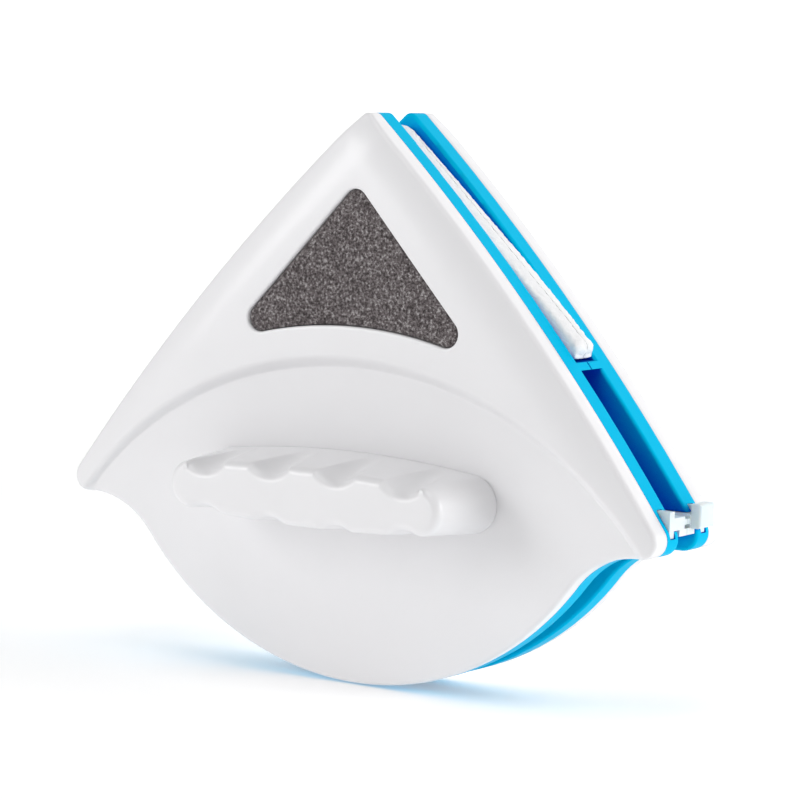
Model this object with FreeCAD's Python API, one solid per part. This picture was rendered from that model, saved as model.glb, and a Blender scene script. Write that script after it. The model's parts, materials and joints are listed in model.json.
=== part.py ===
"""Two-sided magnetic window cleaner: two hand-sized halves that clamp a pane of glass between them.

Each half is a white cover with a grip and a dark scouring sponge let into it, screwed to a cyan base that
carries the magnets, two cleaning pads and a slide-in rubber squeegee. The halves are the same mouldings,
and the outer one is the inner one turned half round about the vertical. Only the outer cover has a hole
and a grommet for a safety rope.

Row frame, in millimetres: X to the right and Z up as the cleaner hangs on a window, Y away from the user.
The origin is on the clamping plane, level with the lower corners of the triangle. A half is drawn flat on
a bench, in its own frame: x to the right, y up the face, and u out from the clamping plane. stand_up()
turns that frame into the row frame.
"""
import FreeCAD, Part
import math
import os

from FreeCAD import Vector

# Driving dimensions, in millimetres ------------------------------------------------------------------
HALF_WIDTH = 105.0          # from the middle to the sharp lower corner
APEX_HEIGHT = 119.7         # from the lower corners to the sharp apex
SIDE_SAGITTA = 4.46         # how far the slanted sides bow outwards
APEX_ROUND = 2.6
CORNER_ROUND = 5.0
CORNER_DROP = 2.2           # the lower corners' rounded tips reach this far below y = 0
BELLY_RADIUS = 92.0
BELLY_CENTRE_Y = 41.3
WAIST_RADIUS = 27.0         # the hollow curve between a corner and the belly

BASE_FACE_U = 5.5           # the base's flat face stands back this far from the clamping plane
PARTING_U = 12.7            # where the base meets the cover
TOUCH_GAP = 0.15            # pads and blades stop this short of the clamping plane
RIDGE_GAP = 0.3             # the divider ridge stops this short of it
FACE_THICK = 2.0
BASE_WALL = 2.0
RIM_ROUND = 1.0
COVER_WALL = 2.2
RIM_HEIGHT = 7.0            # the cover's upright rim, above the parting plane
PLATE_HEIGHT = 10.3         # the raised triangular plate, above the parting plane
CROWN_RADIUS = 3000.0       # the plate is very slightly domed
CROWN_Y = 60.0
SHOULDER_WIDTH = 13.0       # the slope between the rim and the plate
DISC_HEIGHT = 7.0           # the lower disc's highest line, above the parting plane
DISC_CREST_Y = 30.0
DISC_BEND_RADIUS = 622.0    # from that line the disc bends down towards the belly
STEP_RADIUS = 125.0         # the arc between the plate and the disc
STEP_TOP_Y = 43.8
STEP_FOOT = 6.5             # height at which the step has that radius
CREASE_ROUND = 1.0
STEP_LEAN = 1.1             # how far the step leans back for each millimetre that it rises

GRIP_Y = 8.0                # middle of the handle
GRIP_HEIGHT = 33.5          # its flat front, above the parting plane
GRIP_FOOT = (51.0, 12.0, 9.0)    # half length, half width at the middle, half width near the ends
GRIP_FACE = (46.5, 8.5, 7.0)
GRIP_WALL = 2.6
FINGER_PITCH = 23.0
FINGER_RADIUS = 8.5
FINGER_DEPTH = {1: 3.3, -1: 1.8}   # of the grooves along the top and along the bottom

WINDOW_TOP_Y = 98.6         # sharp corners of the sponge window
WINDOW_HALF_WIDTH = 45.7
WINDOW_FOOT_Y = 48.1
WINDOW_ARC_RISE = 8.2
WINDOW_ROUND = 4.2
WINDOW_DEPTH = 5.0
SPONGE_SET_BACK = 0.8

RIDGE_Y = 49.0              # divider ridge between the pads
RIDGE_THICK = 2.0
SLOT_Y = 7.2                # middle of the squeegee's T-slot
SLOT_ROOT = (3.8, 8.1, 10.8)     # the T's wide part: half width, lowest and highest u
SLOT_NECK = 1.8             # half width of its narrow part
SLIDE_GAP = 0.2             # clearance all round the squeegee in its slot
BLADE_U = 1.6               # the squeegee's neck thins to a blade here
TAB_LONG = 3.0              # the pull tab stands out this far past the strip's end
TAB_U = (2.2, 11.0)
STRIP_LONG_END = 101.4      # the squeegee reaches this far on the side that it is pulled from
STRIP_SHORT_END = 100.0
SCREW_SPOTS = [(0, 104.5), (-72, 27), (72, 27), (-42, -25), (42, -25)]
CASE_HEAD_U = (6.9, 9.0)    # the case screws' heads, sunk in the base
CASE_TIP_U = 15.9           # and the far end of their shanks
HEAD_R = 2.8
GRIP_SCREW_X = 24.0
ROPE_Y = -34.0
ROPE_BORE_R = 2.5
ROPE_SLEEVE_R = 4.0
ROPE_FLANGE_R = 5.6

MAGNET = (40.0, 22.0, 7.0)
MAGNET_X = 27.0
MAGNET_Y = 30.0
YOKE = (96.0, 26.0, 1.5)
YOKE_SCREW_Y = 8.0          # the yoke's two screws sit this far above and below the magnets' middle
TAPE_THICK = 0.8
TAPE_INSET = (5.0, 4.0)     # how far the tapes lie inside the upper and the middle pad
PAD_TOP_Y = APEX_HEIGHT - 6.0
PAD_MIDDLE_Y = 82.0
PAD_INSETS = (2.2, 0.6, -1.2)    # the upper pad's edge inside the slanted sides: top, middle, foot
CENTRE_PAD = (15.0, 45.0, 72.0, 53.0)    # lower and upper y, half widths there
SHANK_R = 1.45

# Derived ---------------------------------------------------------------------------------------------
CHORD = math.hypot(HALF_WIDTH, APEX_HEIGHT)
SIDE_RADIUS = (CHORD ** 2 / 4 + SIDE_SAGITTA ** 2) / (2 * SIDE_SAGITTA)
SIDE_CENTRE = (
    HALF_WIDTH / 2 - APEX_HEIGHT / CHORD * (SIDE_RADIUS - SIDE_SAGITTA),
    APEX_HEIGHT / 2 - HALF_WIDTH / CHORD * (SIDE_RADIUS - SIDE_SAGITTA),
)
STEP_CENTRE_Y = STEP_TOP_Y - STEP_RADIUS
FACE_BACK_U = BASE_FACE_U + FACE_THICK
MAGNET_LOW_U = FACE_BACK_U + 0.1
MAGNET_TOP_U = MAGNET_LOW_U + MAGNET[2]
YOKE_TOP_U = MAGNET_TOP_U + YOKE[2]
FAR = 400.0                 # longer than anything here


# Small helpers ---------------------------------------------------------------------------------------
def flat(x, y, u=0.0):
    return Vector(x, y, u)


def cylinder(x, y, radius, low, high):
    return Part.makeCylinder(radius, high - low, flat(x, y, low))


def block(x0, x1, y0, y1, low, high):
    return Part.makeBox(x1 - x0, y1 - y0, high - low, flat(x0, y0, low))


def wire_of(edges):
    return Part.Wire(Part.__sortEdges__(edges))


def prism(wire, low, high):
    """The closed flat wire, drawn at u = 0, filled and stretched from low to high."""
    face = Part.Face(wire)
    face.translate(flat(0, 0, low))
    return face.extrude(flat(0, 0, high - low))


def arc(a, b, c):
    return Part.Arc(flat(*a), flat(*b), flat(*c)).toShape()


def line(a, b):
    return Part.LineSegment(flat(*a), flat(*b)).toShape()


def mirrored(points):
    return [(-x, y) for x, y in points]


def rounded_polygon(corners, radius):
    """A closed wire through the corners, each rounded to the radius."""
    ends = []
    n = len(corners)
    for i, corner in enumerate(corners):
        here = flat(*corner)
        to_last = (flat(*corners[i - 1]) - here).normalize()
        to_next = (flat(*corners[(i + 1) % n]) - here).normalize()
        half = to_last.getAngle(to_next) / 2
        reach = radius / math.tan(half)
        inward = (to_last + to_next).normalize()
        centre = here + inward * (radius / math.sin(half))
        ends.append((here + to_last * reach, centre - inward * radius, here + to_next * reach))
    edges = []
    for i, (start, middle, stop) in enumerate(ends):
        edges.append(Part.Arc(start, middle, stop).toShape())
        edges.append(Part.LineSegment(stop, ends[(i + 1) % n][0]).toShape())
    return wire_of(edges)


def toward(origin, target, distance):
    """The point that lies this far from origin, in the direction of target."""
    away = math.hypot(target[0] - origin[0], target[1] - origin[1])
    return tuple(o + (t - o) * distance / away for o, t in zip(origin, target))


def middle_of_arc(centre, radius, a, b):
    """The point of the circle halfway between its points a and b."""
    return toward(centre, ((a[0] + b[0]) / 2, (a[1] + b[1]) / 2), radius)


# Outline ---------------------------------------------------------------------------------------------
def side_x(y):
    """Half the body's width at this height on the face, between the corner and the apex."""
    return SIDE_CENTRE[0] + math.sqrt(SIDE_RADIUS ** 2 - (y - SIDE_CENTRE[1]) ** 2)


def outline():
    """The body's outline: a bowed triangle with rounded tips above a round belly."""
    reach = SIDE_RADIUS - APEX_ROUND
    apex = (0.0, math.sqrt(reach ** 2 - SIDE_CENTRE[0] ** 2) + SIDE_CENTRE[1])
    apex_end = toward(SIDE_CENTRE, apex, SIDE_RADIUS)
    corner_y = CORNER_ROUND - CORNER_DROP
    reach = SIDE_RADIUS - CORNER_ROUND
    corner = (math.sqrt(reach ** 2 - (corner_y - SIDE_CENTRE[1]) ** 2) + SIDE_CENTRE[0], corner_y)
    corner_end = toward(SIDE_CENTRE, corner, SIDE_RADIUS)
    tip = (corner[0], -CORNER_DROP)
    waist_y = -CORNER_DROP - WAIST_RADIUS
    waist_x = math.sqrt((BELLY_RADIUS + WAIST_RADIUS) ** 2 - (BELLY_CENTRE_Y - waist_y) ** 2)
    waist_start = (waist_x, -CORNER_DROP)
    waist_end = toward((0.0, BELLY_CENTRE_Y), (waist_x, waist_y), BELLY_RADIUS)
    right = [
        (apex_end, middle_of_arc(SIDE_CENTRE, SIDE_RADIUS, apex_end, corner_end), corner_end),
        (corner_end, middle_of_arc(corner, CORNER_ROUND, corner_end, tip), tip),
        (waist_start, middle_of_arc((waist_x, waist_y), WAIST_RADIUS, waist_start, waist_end), waist_end),
    ]
    edges = [arc(mirrored([apex_end])[0], (0.0, apex[1] + APEX_ROUND), apex_end)]
    for points in right:
        edges.append(arc(*points))
        edges.append(arc(*mirrored(points)))
    edges.append(line(tip, waist_start))
    edges.append(line(*mirrored([tip, waist_start])))
    edges.append(arc(waist_end, (0.0, BELLY_CENTRE_Y - BELLY_RADIUS), mirrored([waist_end])[0]))
    return wire_of(edges)


def inset_outline(distance):
    """The outline moved inwards."""
    return outline().makeOffset2D(-distance) if distance else outline()


# Base ------------------------------------------------------------------------------------------------
def t_slot(length, clearance):
    """The squeegee's root and neck, as a bar along x; with a clearance, the slot that it slides in."""
    root_half, low, high = SLOT_ROOT
    root = block(-length, length, SLOT_Y - root_half - clearance, SLOT_Y + root_half + clearance,
                 low - clearance, high + clearance)
    neck = block(-length, length, SLOT_Y - SLOT_NECK - clearance, SLOT_Y + SLOT_NECK + clearance,
                 BASE_FACE_U, low)
    return root.fuse(neck)


def apex_pad_wire(shrink=0.0):
    """The upper pad: it follows the slanted sides, closer to them the lower it gets."""
    top_y = PAD_TOP_Y - shrink
    foot_y = RIDGE_Y + RIDGE_THICK / 2 + 0.6 + shrink
    heights = (top_y, PAD_MIDDLE_Y, foot_y)
    top, middle, foot = [(side_x(y) - inset - shrink, y) for y, inset in zip(heights, PAD_INSETS)]
    round_start = (side_x(foot_y + 4.5) + 1.5 - shrink, foot_y + 4.5)
    round_middle = (foot[0] - 0.1, foot_y + 1.3)
    round_end = (foot[0] - 3.4, foot_y)
    right = [(top, middle, round_start), (round_start, round_middle, round_end)]
    edges = [arc(mirrored([top])[0], (0.0, top_y + 1.6), top)]
    for points in right:
        edges.append(arc(*points))
        edges.append(arc(*mirrored(points)))
    edges.append(line(round_end, mirrored([round_end])[0]))
    return wire_of(edges)


def centre_pad_wire(shrink=0.0):
    foot, top = CENTRE_PAD[0] + shrink, CENTRE_PAD[1] - shrink
    foot_x, top_x = CENTRE_PAD[2] - shrink, CENTRE_PAD[3] - shrink
    return rounded_polygon([(-foot_x, foot), (foot_x, foot), (top_x, top), (-top_x, top)], 5.0)


def magnet_pocket(x):
    length, width, _ = MAGNET
    y0, y1 = MAGNET_Y - width / 2, MAGNET_Y + width / 2
    wall = 1.4
    outside = block(x - length / 2 - wall, x + length / 2 + wall, y0 - wall, y1 + wall, FACE_BACK_U, 13.0)
    inside = block(x - length / 2 - 0.2, x + length / 2 + 0.2, y0 - 0.2, y1 + 0.2, FACE_BACK_U, 13.0)
    return outside.cut(inside)


def base():
    """Cyan tray: face plate, upright wall, locating tongue, divider ridge, T-slot, pockets and bosses."""
    body = prism(outline(), BASE_FACE_U, PARTING_U)
    rim_edges = [e for e in body.Edges if abs(e.BoundBox.ZMax - BASE_FACE_U) < 0.01]
    body = body.makeFillet(RIM_ROUND, rim_edges)
    body = body.cut(prism(inset_outline(BASE_WALL), FACE_BACK_U, PARTING_U))
    tongue = prism(inset_outline(COVER_WALL + 0.15), PARTING_U, PARTING_U + 2.0)
    tongue = tongue.cut(prism(inset_outline(COVER_WALL + 1.35), PARTING_U, PARTING_U + 2.0))
    tongue = tongue.common(cover_block(COVER_WALL + 0.2))
    foot = prism(inset_outline(BASE_WALL - 0.5), PARTING_U - 2.0, PARTING_U)
    foot = foot.cut(prism(inset_outline(COVER_WALL + 1.35), PARTING_U - 2.0, PARTING_U))
    inside = prism(inset_outline(BASE_WALL / 2), BASE_FACE_U, PARTING_U)
    channel = block(-FAR, FAR, SLOT_Y - 5.7, SLOT_Y + 5.7, BASE_FACE_U + 0.5, 12.5).common(inside)
    ridge = block(-FAR, FAR, RIDGE_Y - RIDGE_THICK / 2, RIDGE_Y + RIDGE_THICK / 2, RIDGE_GAP, FACE_BACK_U)
    ridge = ridge.common(prism(outline(), RIDGE_GAP, FACE_BACK_U))
    parts = [tongue, foot, channel, ridge, magnet_pocket(-MAGNET_X), magnet_pocket(MAGNET_X)]
    parts += [cylinder(x, y, 5.0, BASE_FACE_U + 0.5, PARTING_U) for x, y in SCREW_SPOTS]
    parts += [cylinder(0, MAGNET_Y + side * YOKE_SCREW_Y, 3.2, FACE_BACK_U, MAGNET_TOP_U) for side in (-1, 1)]
    body = body.fuse(parts)
    holes = [t_slot(FAR, SLIDE_GAP)]
    for x, y in SCREW_SPOTS:
        holes.append(cylinder(x, y, HEAD_R + 0.5, 0, CASE_HEAD_U[1]))
        holes.append(cylinder(x, y, SHANK_R + 0.15, CASE_HEAD_U[1], PARTING_U))
    holes += [cylinder(0, MAGNET_Y + side * YOKE_SCREW_Y, SHANK_R, FACE_BACK_U + 1, FAR) for side in (-1, 1)]
    holes += [prism(wire, BASE_FACE_U - 0.5, BASE_FACE_U + TAPE_THICK) for wire in tape_wires()]
    return body.cut(holes).removeSplitter()


def magnet(x):
    length, width, thick = MAGNET
    bar = block(x - length / 2, x + length / 2, MAGNET_Y - width / 2, MAGNET_Y + width / 2,
                MAGNET_LOW_U, MAGNET_TOP_U)
    return bar.makeChamfer(0.5, bar.Edges)


def yoke_plate():
    length, width, _ = YOKE
    corners = [(-length / 2, MAGNET_Y - width / 2), (length / 2, MAGNET_Y - width / 2),
               (length / 2, MAGNET_Y + width / 2), (-length / 2, MAGNET_Y + width / 2)]
    plate = prism(rounded_polygon(corners, 3.0), MAGNET_TOP_U, YOKE_TOP_U)
    holes = [cylinder(0, MAGNET_Y + side * YOKE_SCREW_Y, SHANK_R + 0.15, 0, FAR) for side in (-1, 1)]
    return plate.cut(holes)


def screw(x, y, head_low, head_high, tip):
    """A pan-head screw along u with a cross recess; tip is the far end of its shank."""
    upward = tip > head_high
    start = head_high if upward else tip
    stop = tip if upward else head_low
    body = cylinder(x, y, HEAD_R, head_low, head_high).fuse(cylinder(x, y, SHANK_R - 0.02, start, stop))
    depth = (head_high - head_low) * 0.6
    low = head_low if upward else head_high - depth
    cross = [block(x - 1.6, x + 1.6, y - 0.35, y + 0.35, low, low + depth),
             block(x - 0.35, x + 0.35, y - 1.6, y + 1.6, low, low + depth)]
    return body.cut(cross)


def case_screws():
    return [screw(x, y, *CASE_HEAD_U, CASE_TIP_U) for x, y in SCREW_SPOTS]


def yoke_screws():
    return [screw(0, MAGNET_Y + side * YOKE_SCREW_Y, YOKE_TOP_U, YOKE_TOP_U + 1.0, MAGNET_TOP_U - 5.5)
            for side in (-1, 1)]


def tape_wires():
    """The shallow recesses that the hook tapes are stuck into."""
    return apex_pad_wire(TAPE_INSET[0]), centre_pad_wire(TAPE_INSET[1])


def hook_tapes():
    low, high = BASE_FACE_U, BASE_FACE_U + TAPE_THICK
    return [prism(wire.makeOffset2D(-0.25), low, high) for wire in tape_wires()]


def pad(wire):
    return prism(wire, TOUCH_GAP, BASE_FACE_U)


def squeegee(tab):
    """Silicone strip: T-shaped root, thick neck and a blade with a drip lip. The outer one has a pull tab."""
    reach = [-STRIP_LONG_END, STRIP_SHORT_END] if tab else [-STRIP_SHORT_END, STRIP_LONG_END]
    strip = t_slot(FAR, 0).common(block(*reach, -FAR, FAR, 0, FAR))
    blade = block(*reach, SLOT_Y - SLOT_NECK, SLOT_Y + SLOT_NECK, BLADE_U, BASE_FACE_U)
    nose = block(*reach, SLOT_Y - 0.6, SLOT_Y + 0.9, TOUCH_GAP, BLADE_U)
    lip = block(*reach, SLOT_Y - 3.7, SLOT_Y - SLOT_NECK, TOUCH_GAP, BLADE_U + 3.0)
    strip = strip.fuse([blade, nose, lip]).removeSplitter()
    if not tab:
        return strip
    tab_x = -STRIP_LONG_END - TAB_LONG
    plate = block(tab_x, -STRIP_LONG_END, SLOT_Y - 2.0, SLOT_Y + 5.0, *TAB_U)
    plate = plate.makeFillet(0.9, [e for e in plate.Edges if e.BoundBox.XMax < tab_x + 0.1])
    return strip.fuse(plate).removeSplitter()


# Cover -----------------------------------------------------------------------------------------------
def disc_height(y):
    """Height of the lower disc's surface above the parting plane."""
    return DISC_HEIGHT - (y - DISC_CREST_Y) ** 2 / (2 * DISC_BEND_RADIUS)


def disc_side(lowered=0.0):
    """Everything below the lower disc's surface, which bends about a line along x."""
    axis = Vector(-300, DISC_CREST_Y, PARTING_U + DISC_HEIGHT - lowered - DISC_BEND_RADIUS)
    roll = Part.makeCylinder(DISC_BEND_RADIUS, 600, axis, Vector(1, 0, 0))
    roll.rotate(axis, Vector(1, 0, 0), 180)    # puts its seam far from the disc
    return roll


def crown(lowered):
    """Everything below the raised plate's slightly domed surface."""
    centre = flat(0, CROWN_Y, PARTING_U + PLATE_HEIGHT - lowered - CROWN_RADIUS)
    ball = Part.makeSphere(CROWN_RADIUS, centre)
    ball.rotate(centre, Vector(1, 0, 0), 90)    # puts its poles and seam far from the plate
    return ball


def cover_block(wall):
    """The cover's outer form, shrunk by wall: bowed rim, sloped shoulders, raised plate, sunken disc."""
    top = PARTING_U + PLATE_HEIGHT - wall + 1.0
    body = prism(inset_outline(wall), PARTING_U, top).common(crown(wall))
    slope = SHOULDER_WIDTH / (PLATE_HEIGHT - RIM_HEIGHT)
    for side in (-1, 1):
        shoulder = Part.makeCone(
            SIDE_RADIUS - wall + slope * (RIM_HEIGHT - wall), SIDE_RADIUS - wall - SHOULDER_WIDTH,
            PLATE_HEIGHT - wall, flat(side * SIDE_CENTRE[0], SIDE_CENTRE[1], PARTING_U))
        body = body.common(shoulder)
    radius = STEP_RADIUS + 1.3 * wall
    disc = Part.makeCone(radius - STEP_LEAN * STEP_FOOT, radius + STEP_LEAN * (20.0 - STEP_FOOT), 20.0,
                         flat(0, STEP_CENTRE_Y, PARTING_U))
    return body.cut(disc.cut(disc_side(wall)))


def softened(body):
    """The cover's outer form with the foot of its step filled to a soft curve."""
    crease = []
    for edge in body.Edges:
        middle = edge.valueAt((edge.FirstParameter + edge.LastParameter) / 2)
        from_centre = math.hypot(middle.x, middle.y - STEP_CENTRE_Y)
        if edge.Length > STEP_RADIUS and abs(from_centre - STEP_RADIUS) < 2.5:
            crease.append(edge)
    return body.makeFillet(CREASE_ROUND, crease)


def window_wire(grow=0.0):
    """The sponge window: a triangle with a hollow foot, its corners rounded."""
    tip = (0.0, WINDOW_TOP_Y + grow * 1.5)
    foot_x = WINDOW_HALF_WIDTH + grow * 1.6
    foot_y = WINDOW_FOOT_Y - grow
    rise = WINDOW_ARC_RISE
    radius = (foot_x ** 2 + rise ** 2) / (2 * rise)
    side = flat(foot_x, foot_y)
    edges = [line(tip, (foot_x, foot_y)), line(tip, (-foot_x, foot_y)),
             arc((-foot_x, foot_y), (0.0, foot_y + rise), (foot_x, foot_y))]
    sharp = prism(wire_of(edges), 0, 1)
    upright = [e for e in sharp.Edges if abs(e.tangentAt(e.FirstParameter).z) > 0.99]
    rounded = sharp.makeFillet(WINDOW_ROUND + grow / 2, upright)
    foot = [f for f in rounded.Faces if abs(f.CenterOfMass.z) < 1e-6][0]
    return foot.OuterWire


def cover(with_rope):
    """White shell with the sponge's pocket, the screw bosses and the holes for the handle's screws."""
    outer = softened(cover_block(0.0))
    hollow = cover_block(COVER_WALL)
    shell = outer.cut(hollow)
    floor_u = PARTING_U + PLATE_HEIGHT - WINDOW_DEPTH
    pocket = prism(window_wire(1.8), floor_u - 1.6, FAR).common(outer)
    bosses = [cylinder(x, y, 4.0, PARTING_U, FAR).common(outer) for x, y in SCREW_SPOTS]
    shell = shell.fuse([pocket] + bosses)
    holes = [prism(window_wire(), floor_u, FAR)]
    holes += [cylinder(x, y, SHANK_R, PARTING_U, CASE_TIP_U + 0.3) for x, y in SCREW_SPOTS]
    holes += [cylinder(side * GRIP_SCREW_X, GRIP_Y, SHANK_R + 0.15, PARTING_U, FAR) for side in (-1, 1)]
    if with_rope:
        holes.append(cylinder(0, ROPE_Y, ROPE_SLEEVE_R + 0.05, PARTING_U, FAR))
    return shell.cut(holes)


def sponge():
    floor_u = PARTING_U + PLATE_HEIGHT - WINDOW_DEPTH
    return prism(window_wire(-0.15), floor_u, PARTING_U + PLATE_HEIGHT - SPONGE_SET_BACK)


def grip_wire(size, height):
    """A long oval: two shallow arcs joined by round ends."""
    half_length, half_width, end_r = size
    x = half_length - end_r
    points = [
        ((-x, end_r), (0, half_width), (x, end_r)),
        ((x, end_r), (half_length, 0), (x, -end_r)),
        ((x, -end_r), (0, -half_width), (-x, -end_r)),
        ((-x, -end_r), (-half_length, 0), (-x, end_r)),
    ]
    wire = Part.Wire([arc(*p) for p in points])
    wire.translate(flat(0, GRIP_Y, height))
    return wire


def grip_half_width(size, x):
    half_length, middle, end = size
    return end + (middle - end) * (1 - (x / (half_length - end)) ** 2)


def finger_grooves():
    """Four grooves along each side of the handle, deepest at its front and running out at its foot."""
    foot_u, face_u = PARTING_U + DISC_HEIGHT + 2.0, PARTING_U + GRIP_HEIGHT
    grooves = []
    for x in [FINGER_PITCH * step for step in (-1.5, -0.5, 0.5, 1.5)]:
        for side in (-1, 1):
            foot_out = grip_half_width(GRIP_FOOT, x) + FINGER_RADIUS - 0.4
            face_out = grip_half_width(GRIP_FACE, x) + FINGER_RADIUS - FINGER_DEPTH[side]
            start = flat(x, GRIP_Y + side * foot_out, foot_u)
            way = flat(x, GRIP_Y + side * face_out, face_u) - start
            grooves.append(Part.makeCylinder(FINGER_RADIUS, way.Length + 6, start - way * 0.3, way))
    return grooves


def handle():
    """Hollow grip with finger grooves, standing on the cover's disc, with two bosses for its screws."""
    foot_u, face_u = PARTING_U + 1.0, PARTING_U + GRIP_HEIGHT
    solid = Part.makeLoft([grip_wire(GRIP_FOOT, foot_u), grip_wire(GRIP_FACE, face_u)], True)
    front = [e for e in solid.Edges if e.BoundBox.ZMin > face_u - 0.01]
    solid = solid.makeFillet(2.2, front).cut(finger_grooves())
    foot = tuple(v - GRIP_WALL for v in GRIP_FOOT)
    top = (GRIP_FACE[0] - 4.0, 3.4, 2.8)
    hollow = Part.makeLoft([grip_wire(foot, foot_u), grip_wire(top, face_u - GRIP_WALL)], True)
    bosses = [cylinder(side * GRIP_SCREW_X, GRIP_Y, 3.4, foot_u, face_u - GRIP_WALL / 2) for side in (-1, 1)]
    pilots = [cylinder(side * GRIP_SCREW_X, GRIP_Y, SHANK_R, foot_u, PARTING_U + 17) for side in (-1, 1)]
    return solid.cut(hollow).fuse(bosses).cut(pilots + [disc_side()])


def handle_screws():
    head_high = PARTING_U + disc_height(GRIP_Y) - COVER_WALL - 0.35
    return [screw(side * GRIP_SCREW_X, GRIP_Y, head_high - 1.5, head_high, PARTING_U + 15)
            for side in (-1, 1)]


def rope_grommet():
    top = PARTING_U + disc_height(ROPE_Y) + 1.3
    flange = cylinder(0, ROPE_Y, ROPE_FLANGE_R, PARTING_U + 2, top).cut(disc_side())
    sleeve = cylinder(0, ROPE_Y, ROPE_SLEEVE_R, PARTING_U + 1.2, top)
    return flange.fuse(sleeve).cut(cylinder(0, ROPE_Y, ROPE_BORE_R, 0, FAR)).removeSplitter()


# Assembly --------------------------------------------------------------------------------------------
def stand_up(shape, outer_half):
    """From a half's bench frame to the row frame. The outer half is the inner one turned about Z."""
    placed = shape.copy()
    placed.rotate(flat(0, 0), Vector(1, 0, 0), 90)
    if outer_half:
        placed.rotate(flat(0, 0), Vector(0, 0, 1), 180)
    return placed


def as_one(shape):
    """A list of separate solids as one compound; a single shape unchanged."""
    return Part.makeCompound(shape) if isinstance(shape, list) else shape


def half_nodes(prefix, outer_half):
    nodes = {
        "cover": cover(outer_half),
        "handle": handle(),
        "handle_screws": handle_screws(),
        "scouring_sponge": sponge(),
        "base": base(),
        "case_screws": case_screws(),
        "magnet_left": magnet(-MAGNET_X),
        "magnet_right": magnet(MAGNET_X),
        "yoke_plate": yoke_plate(),
        "yoke_screws": yoke_screws(),
        "hook_tapes": hook_tapes(),
        "apex_pad": pad(apex_pad_wire()),
        "centre_pad": pad(centre_pad_wire()),
        "squeegee": squeegee(outer_half),
    }
    if outer_half:
        nodes["rope_grommet"] = rope_grommet()
    return {f"{prefix}_{name}": stand_up(as_one(shape), outer_half) for name, shape in nodes.items()}


def main():
    os.makedirs("parts", exist_ok=True)
    nodes = {**half_nodes("inner", False), **half_nodes("outer", True)}
    for name, shape in nodes.items():
        print(name, len(shape.Solids), shape.isValid(), round(shape.Volume / 1000, 2), "cm3")
        shape.exportStep(f"parts/{name}.step")


main()
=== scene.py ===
"""Looks of the two-sided magnetic window cleaner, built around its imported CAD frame. Units are metres."""

import json
import math

import bmesh
import bpy
import numpy as np
from mathutils import Matrix, Vector, noise
from mathutils.geometry import convex_hull_2d, delaunay_2d_cdt


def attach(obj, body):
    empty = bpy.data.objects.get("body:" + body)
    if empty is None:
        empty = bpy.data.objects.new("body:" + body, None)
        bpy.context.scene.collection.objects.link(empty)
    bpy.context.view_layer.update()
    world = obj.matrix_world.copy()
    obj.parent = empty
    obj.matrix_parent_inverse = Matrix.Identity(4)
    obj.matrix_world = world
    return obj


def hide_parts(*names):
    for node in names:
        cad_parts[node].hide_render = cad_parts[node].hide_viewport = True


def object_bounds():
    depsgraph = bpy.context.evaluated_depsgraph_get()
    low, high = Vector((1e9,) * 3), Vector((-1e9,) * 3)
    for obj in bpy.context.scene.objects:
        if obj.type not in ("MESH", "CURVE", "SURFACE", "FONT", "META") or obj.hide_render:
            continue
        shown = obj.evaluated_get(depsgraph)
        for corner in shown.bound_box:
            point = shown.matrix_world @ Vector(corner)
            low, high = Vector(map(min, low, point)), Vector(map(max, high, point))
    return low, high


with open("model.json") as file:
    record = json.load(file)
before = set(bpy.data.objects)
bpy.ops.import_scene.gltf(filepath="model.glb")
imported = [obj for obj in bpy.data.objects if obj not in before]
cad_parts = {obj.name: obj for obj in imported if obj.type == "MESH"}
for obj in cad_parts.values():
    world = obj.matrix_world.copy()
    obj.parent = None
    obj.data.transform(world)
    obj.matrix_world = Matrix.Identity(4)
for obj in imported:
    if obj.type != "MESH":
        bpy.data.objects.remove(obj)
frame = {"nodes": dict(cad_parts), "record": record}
first_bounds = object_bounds()

MM = 0.001

# A half's own sizes in millimetres, as in the CAD: x right, y up the face, u out from the clamping plane.
# Only the cover's step is a little steeper than in the CAD, for a crisper line.
HALF_WIDTH, APEX_HEIGHT, SIDE_SAGITTA = 105.0, 119.7, 4.46
APEX_ROUND, CORNER_ROUND, CORNER_DROP = 2.6, 5.0, 2.2
BELLY_RADIUS, BELLY_CENTRE_Y, WAIST_RADIUS = 92.0, 41.3, 27.0
PAD_DEPTH, PARTING, COVER_WALL = 5.5, 12.7, 2.2
RIM_HEIGHT, PLATE_HEIGHT, SHOULDER_WIDTH = 7.0, 10.3, 13.0
CROWN_RADIUS, CROWN_Y = 3000.0, 60.0
DISC_HEIGHT, DISC_CREST_Y, DISC_BEND_RADIUS = 7.0, 30.0, 622.0
STEP_RADIUS, STEP_TOP_Y, STEP_FOOT, STEP_LEAN = 125.0, 43.8, 6.5, 0.8
WINDOW_TOP_Y, WINDOW_HALF_WIDTH, WINDOW_FOOT_Y = 98.6, 45.7, 48.1
WINDOW_ARC_RISE, WINDOW_ROUND, WINDOW_DEPTH = 8.2, 4.2, 5.0
GRIP_Y, GRIP_HEIGHT = 8.0, 33.5
GRIP_FOOT, GRIP_FACE = (51.0, 12.0, 9.0), (46.5, 8.5, 7.0)
FINGER_PITCH, FINGER_RADIUS = 23.0, 8.5
FINGER_DEPTH = {1: 3.3, -1: 1.8}
FINGER_STEPS = (-1.5, -0.5, 0.5, 1.5)
ROPE_HOLE = (0.0, -34.0, 4.05)      # x, y and radius

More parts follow.
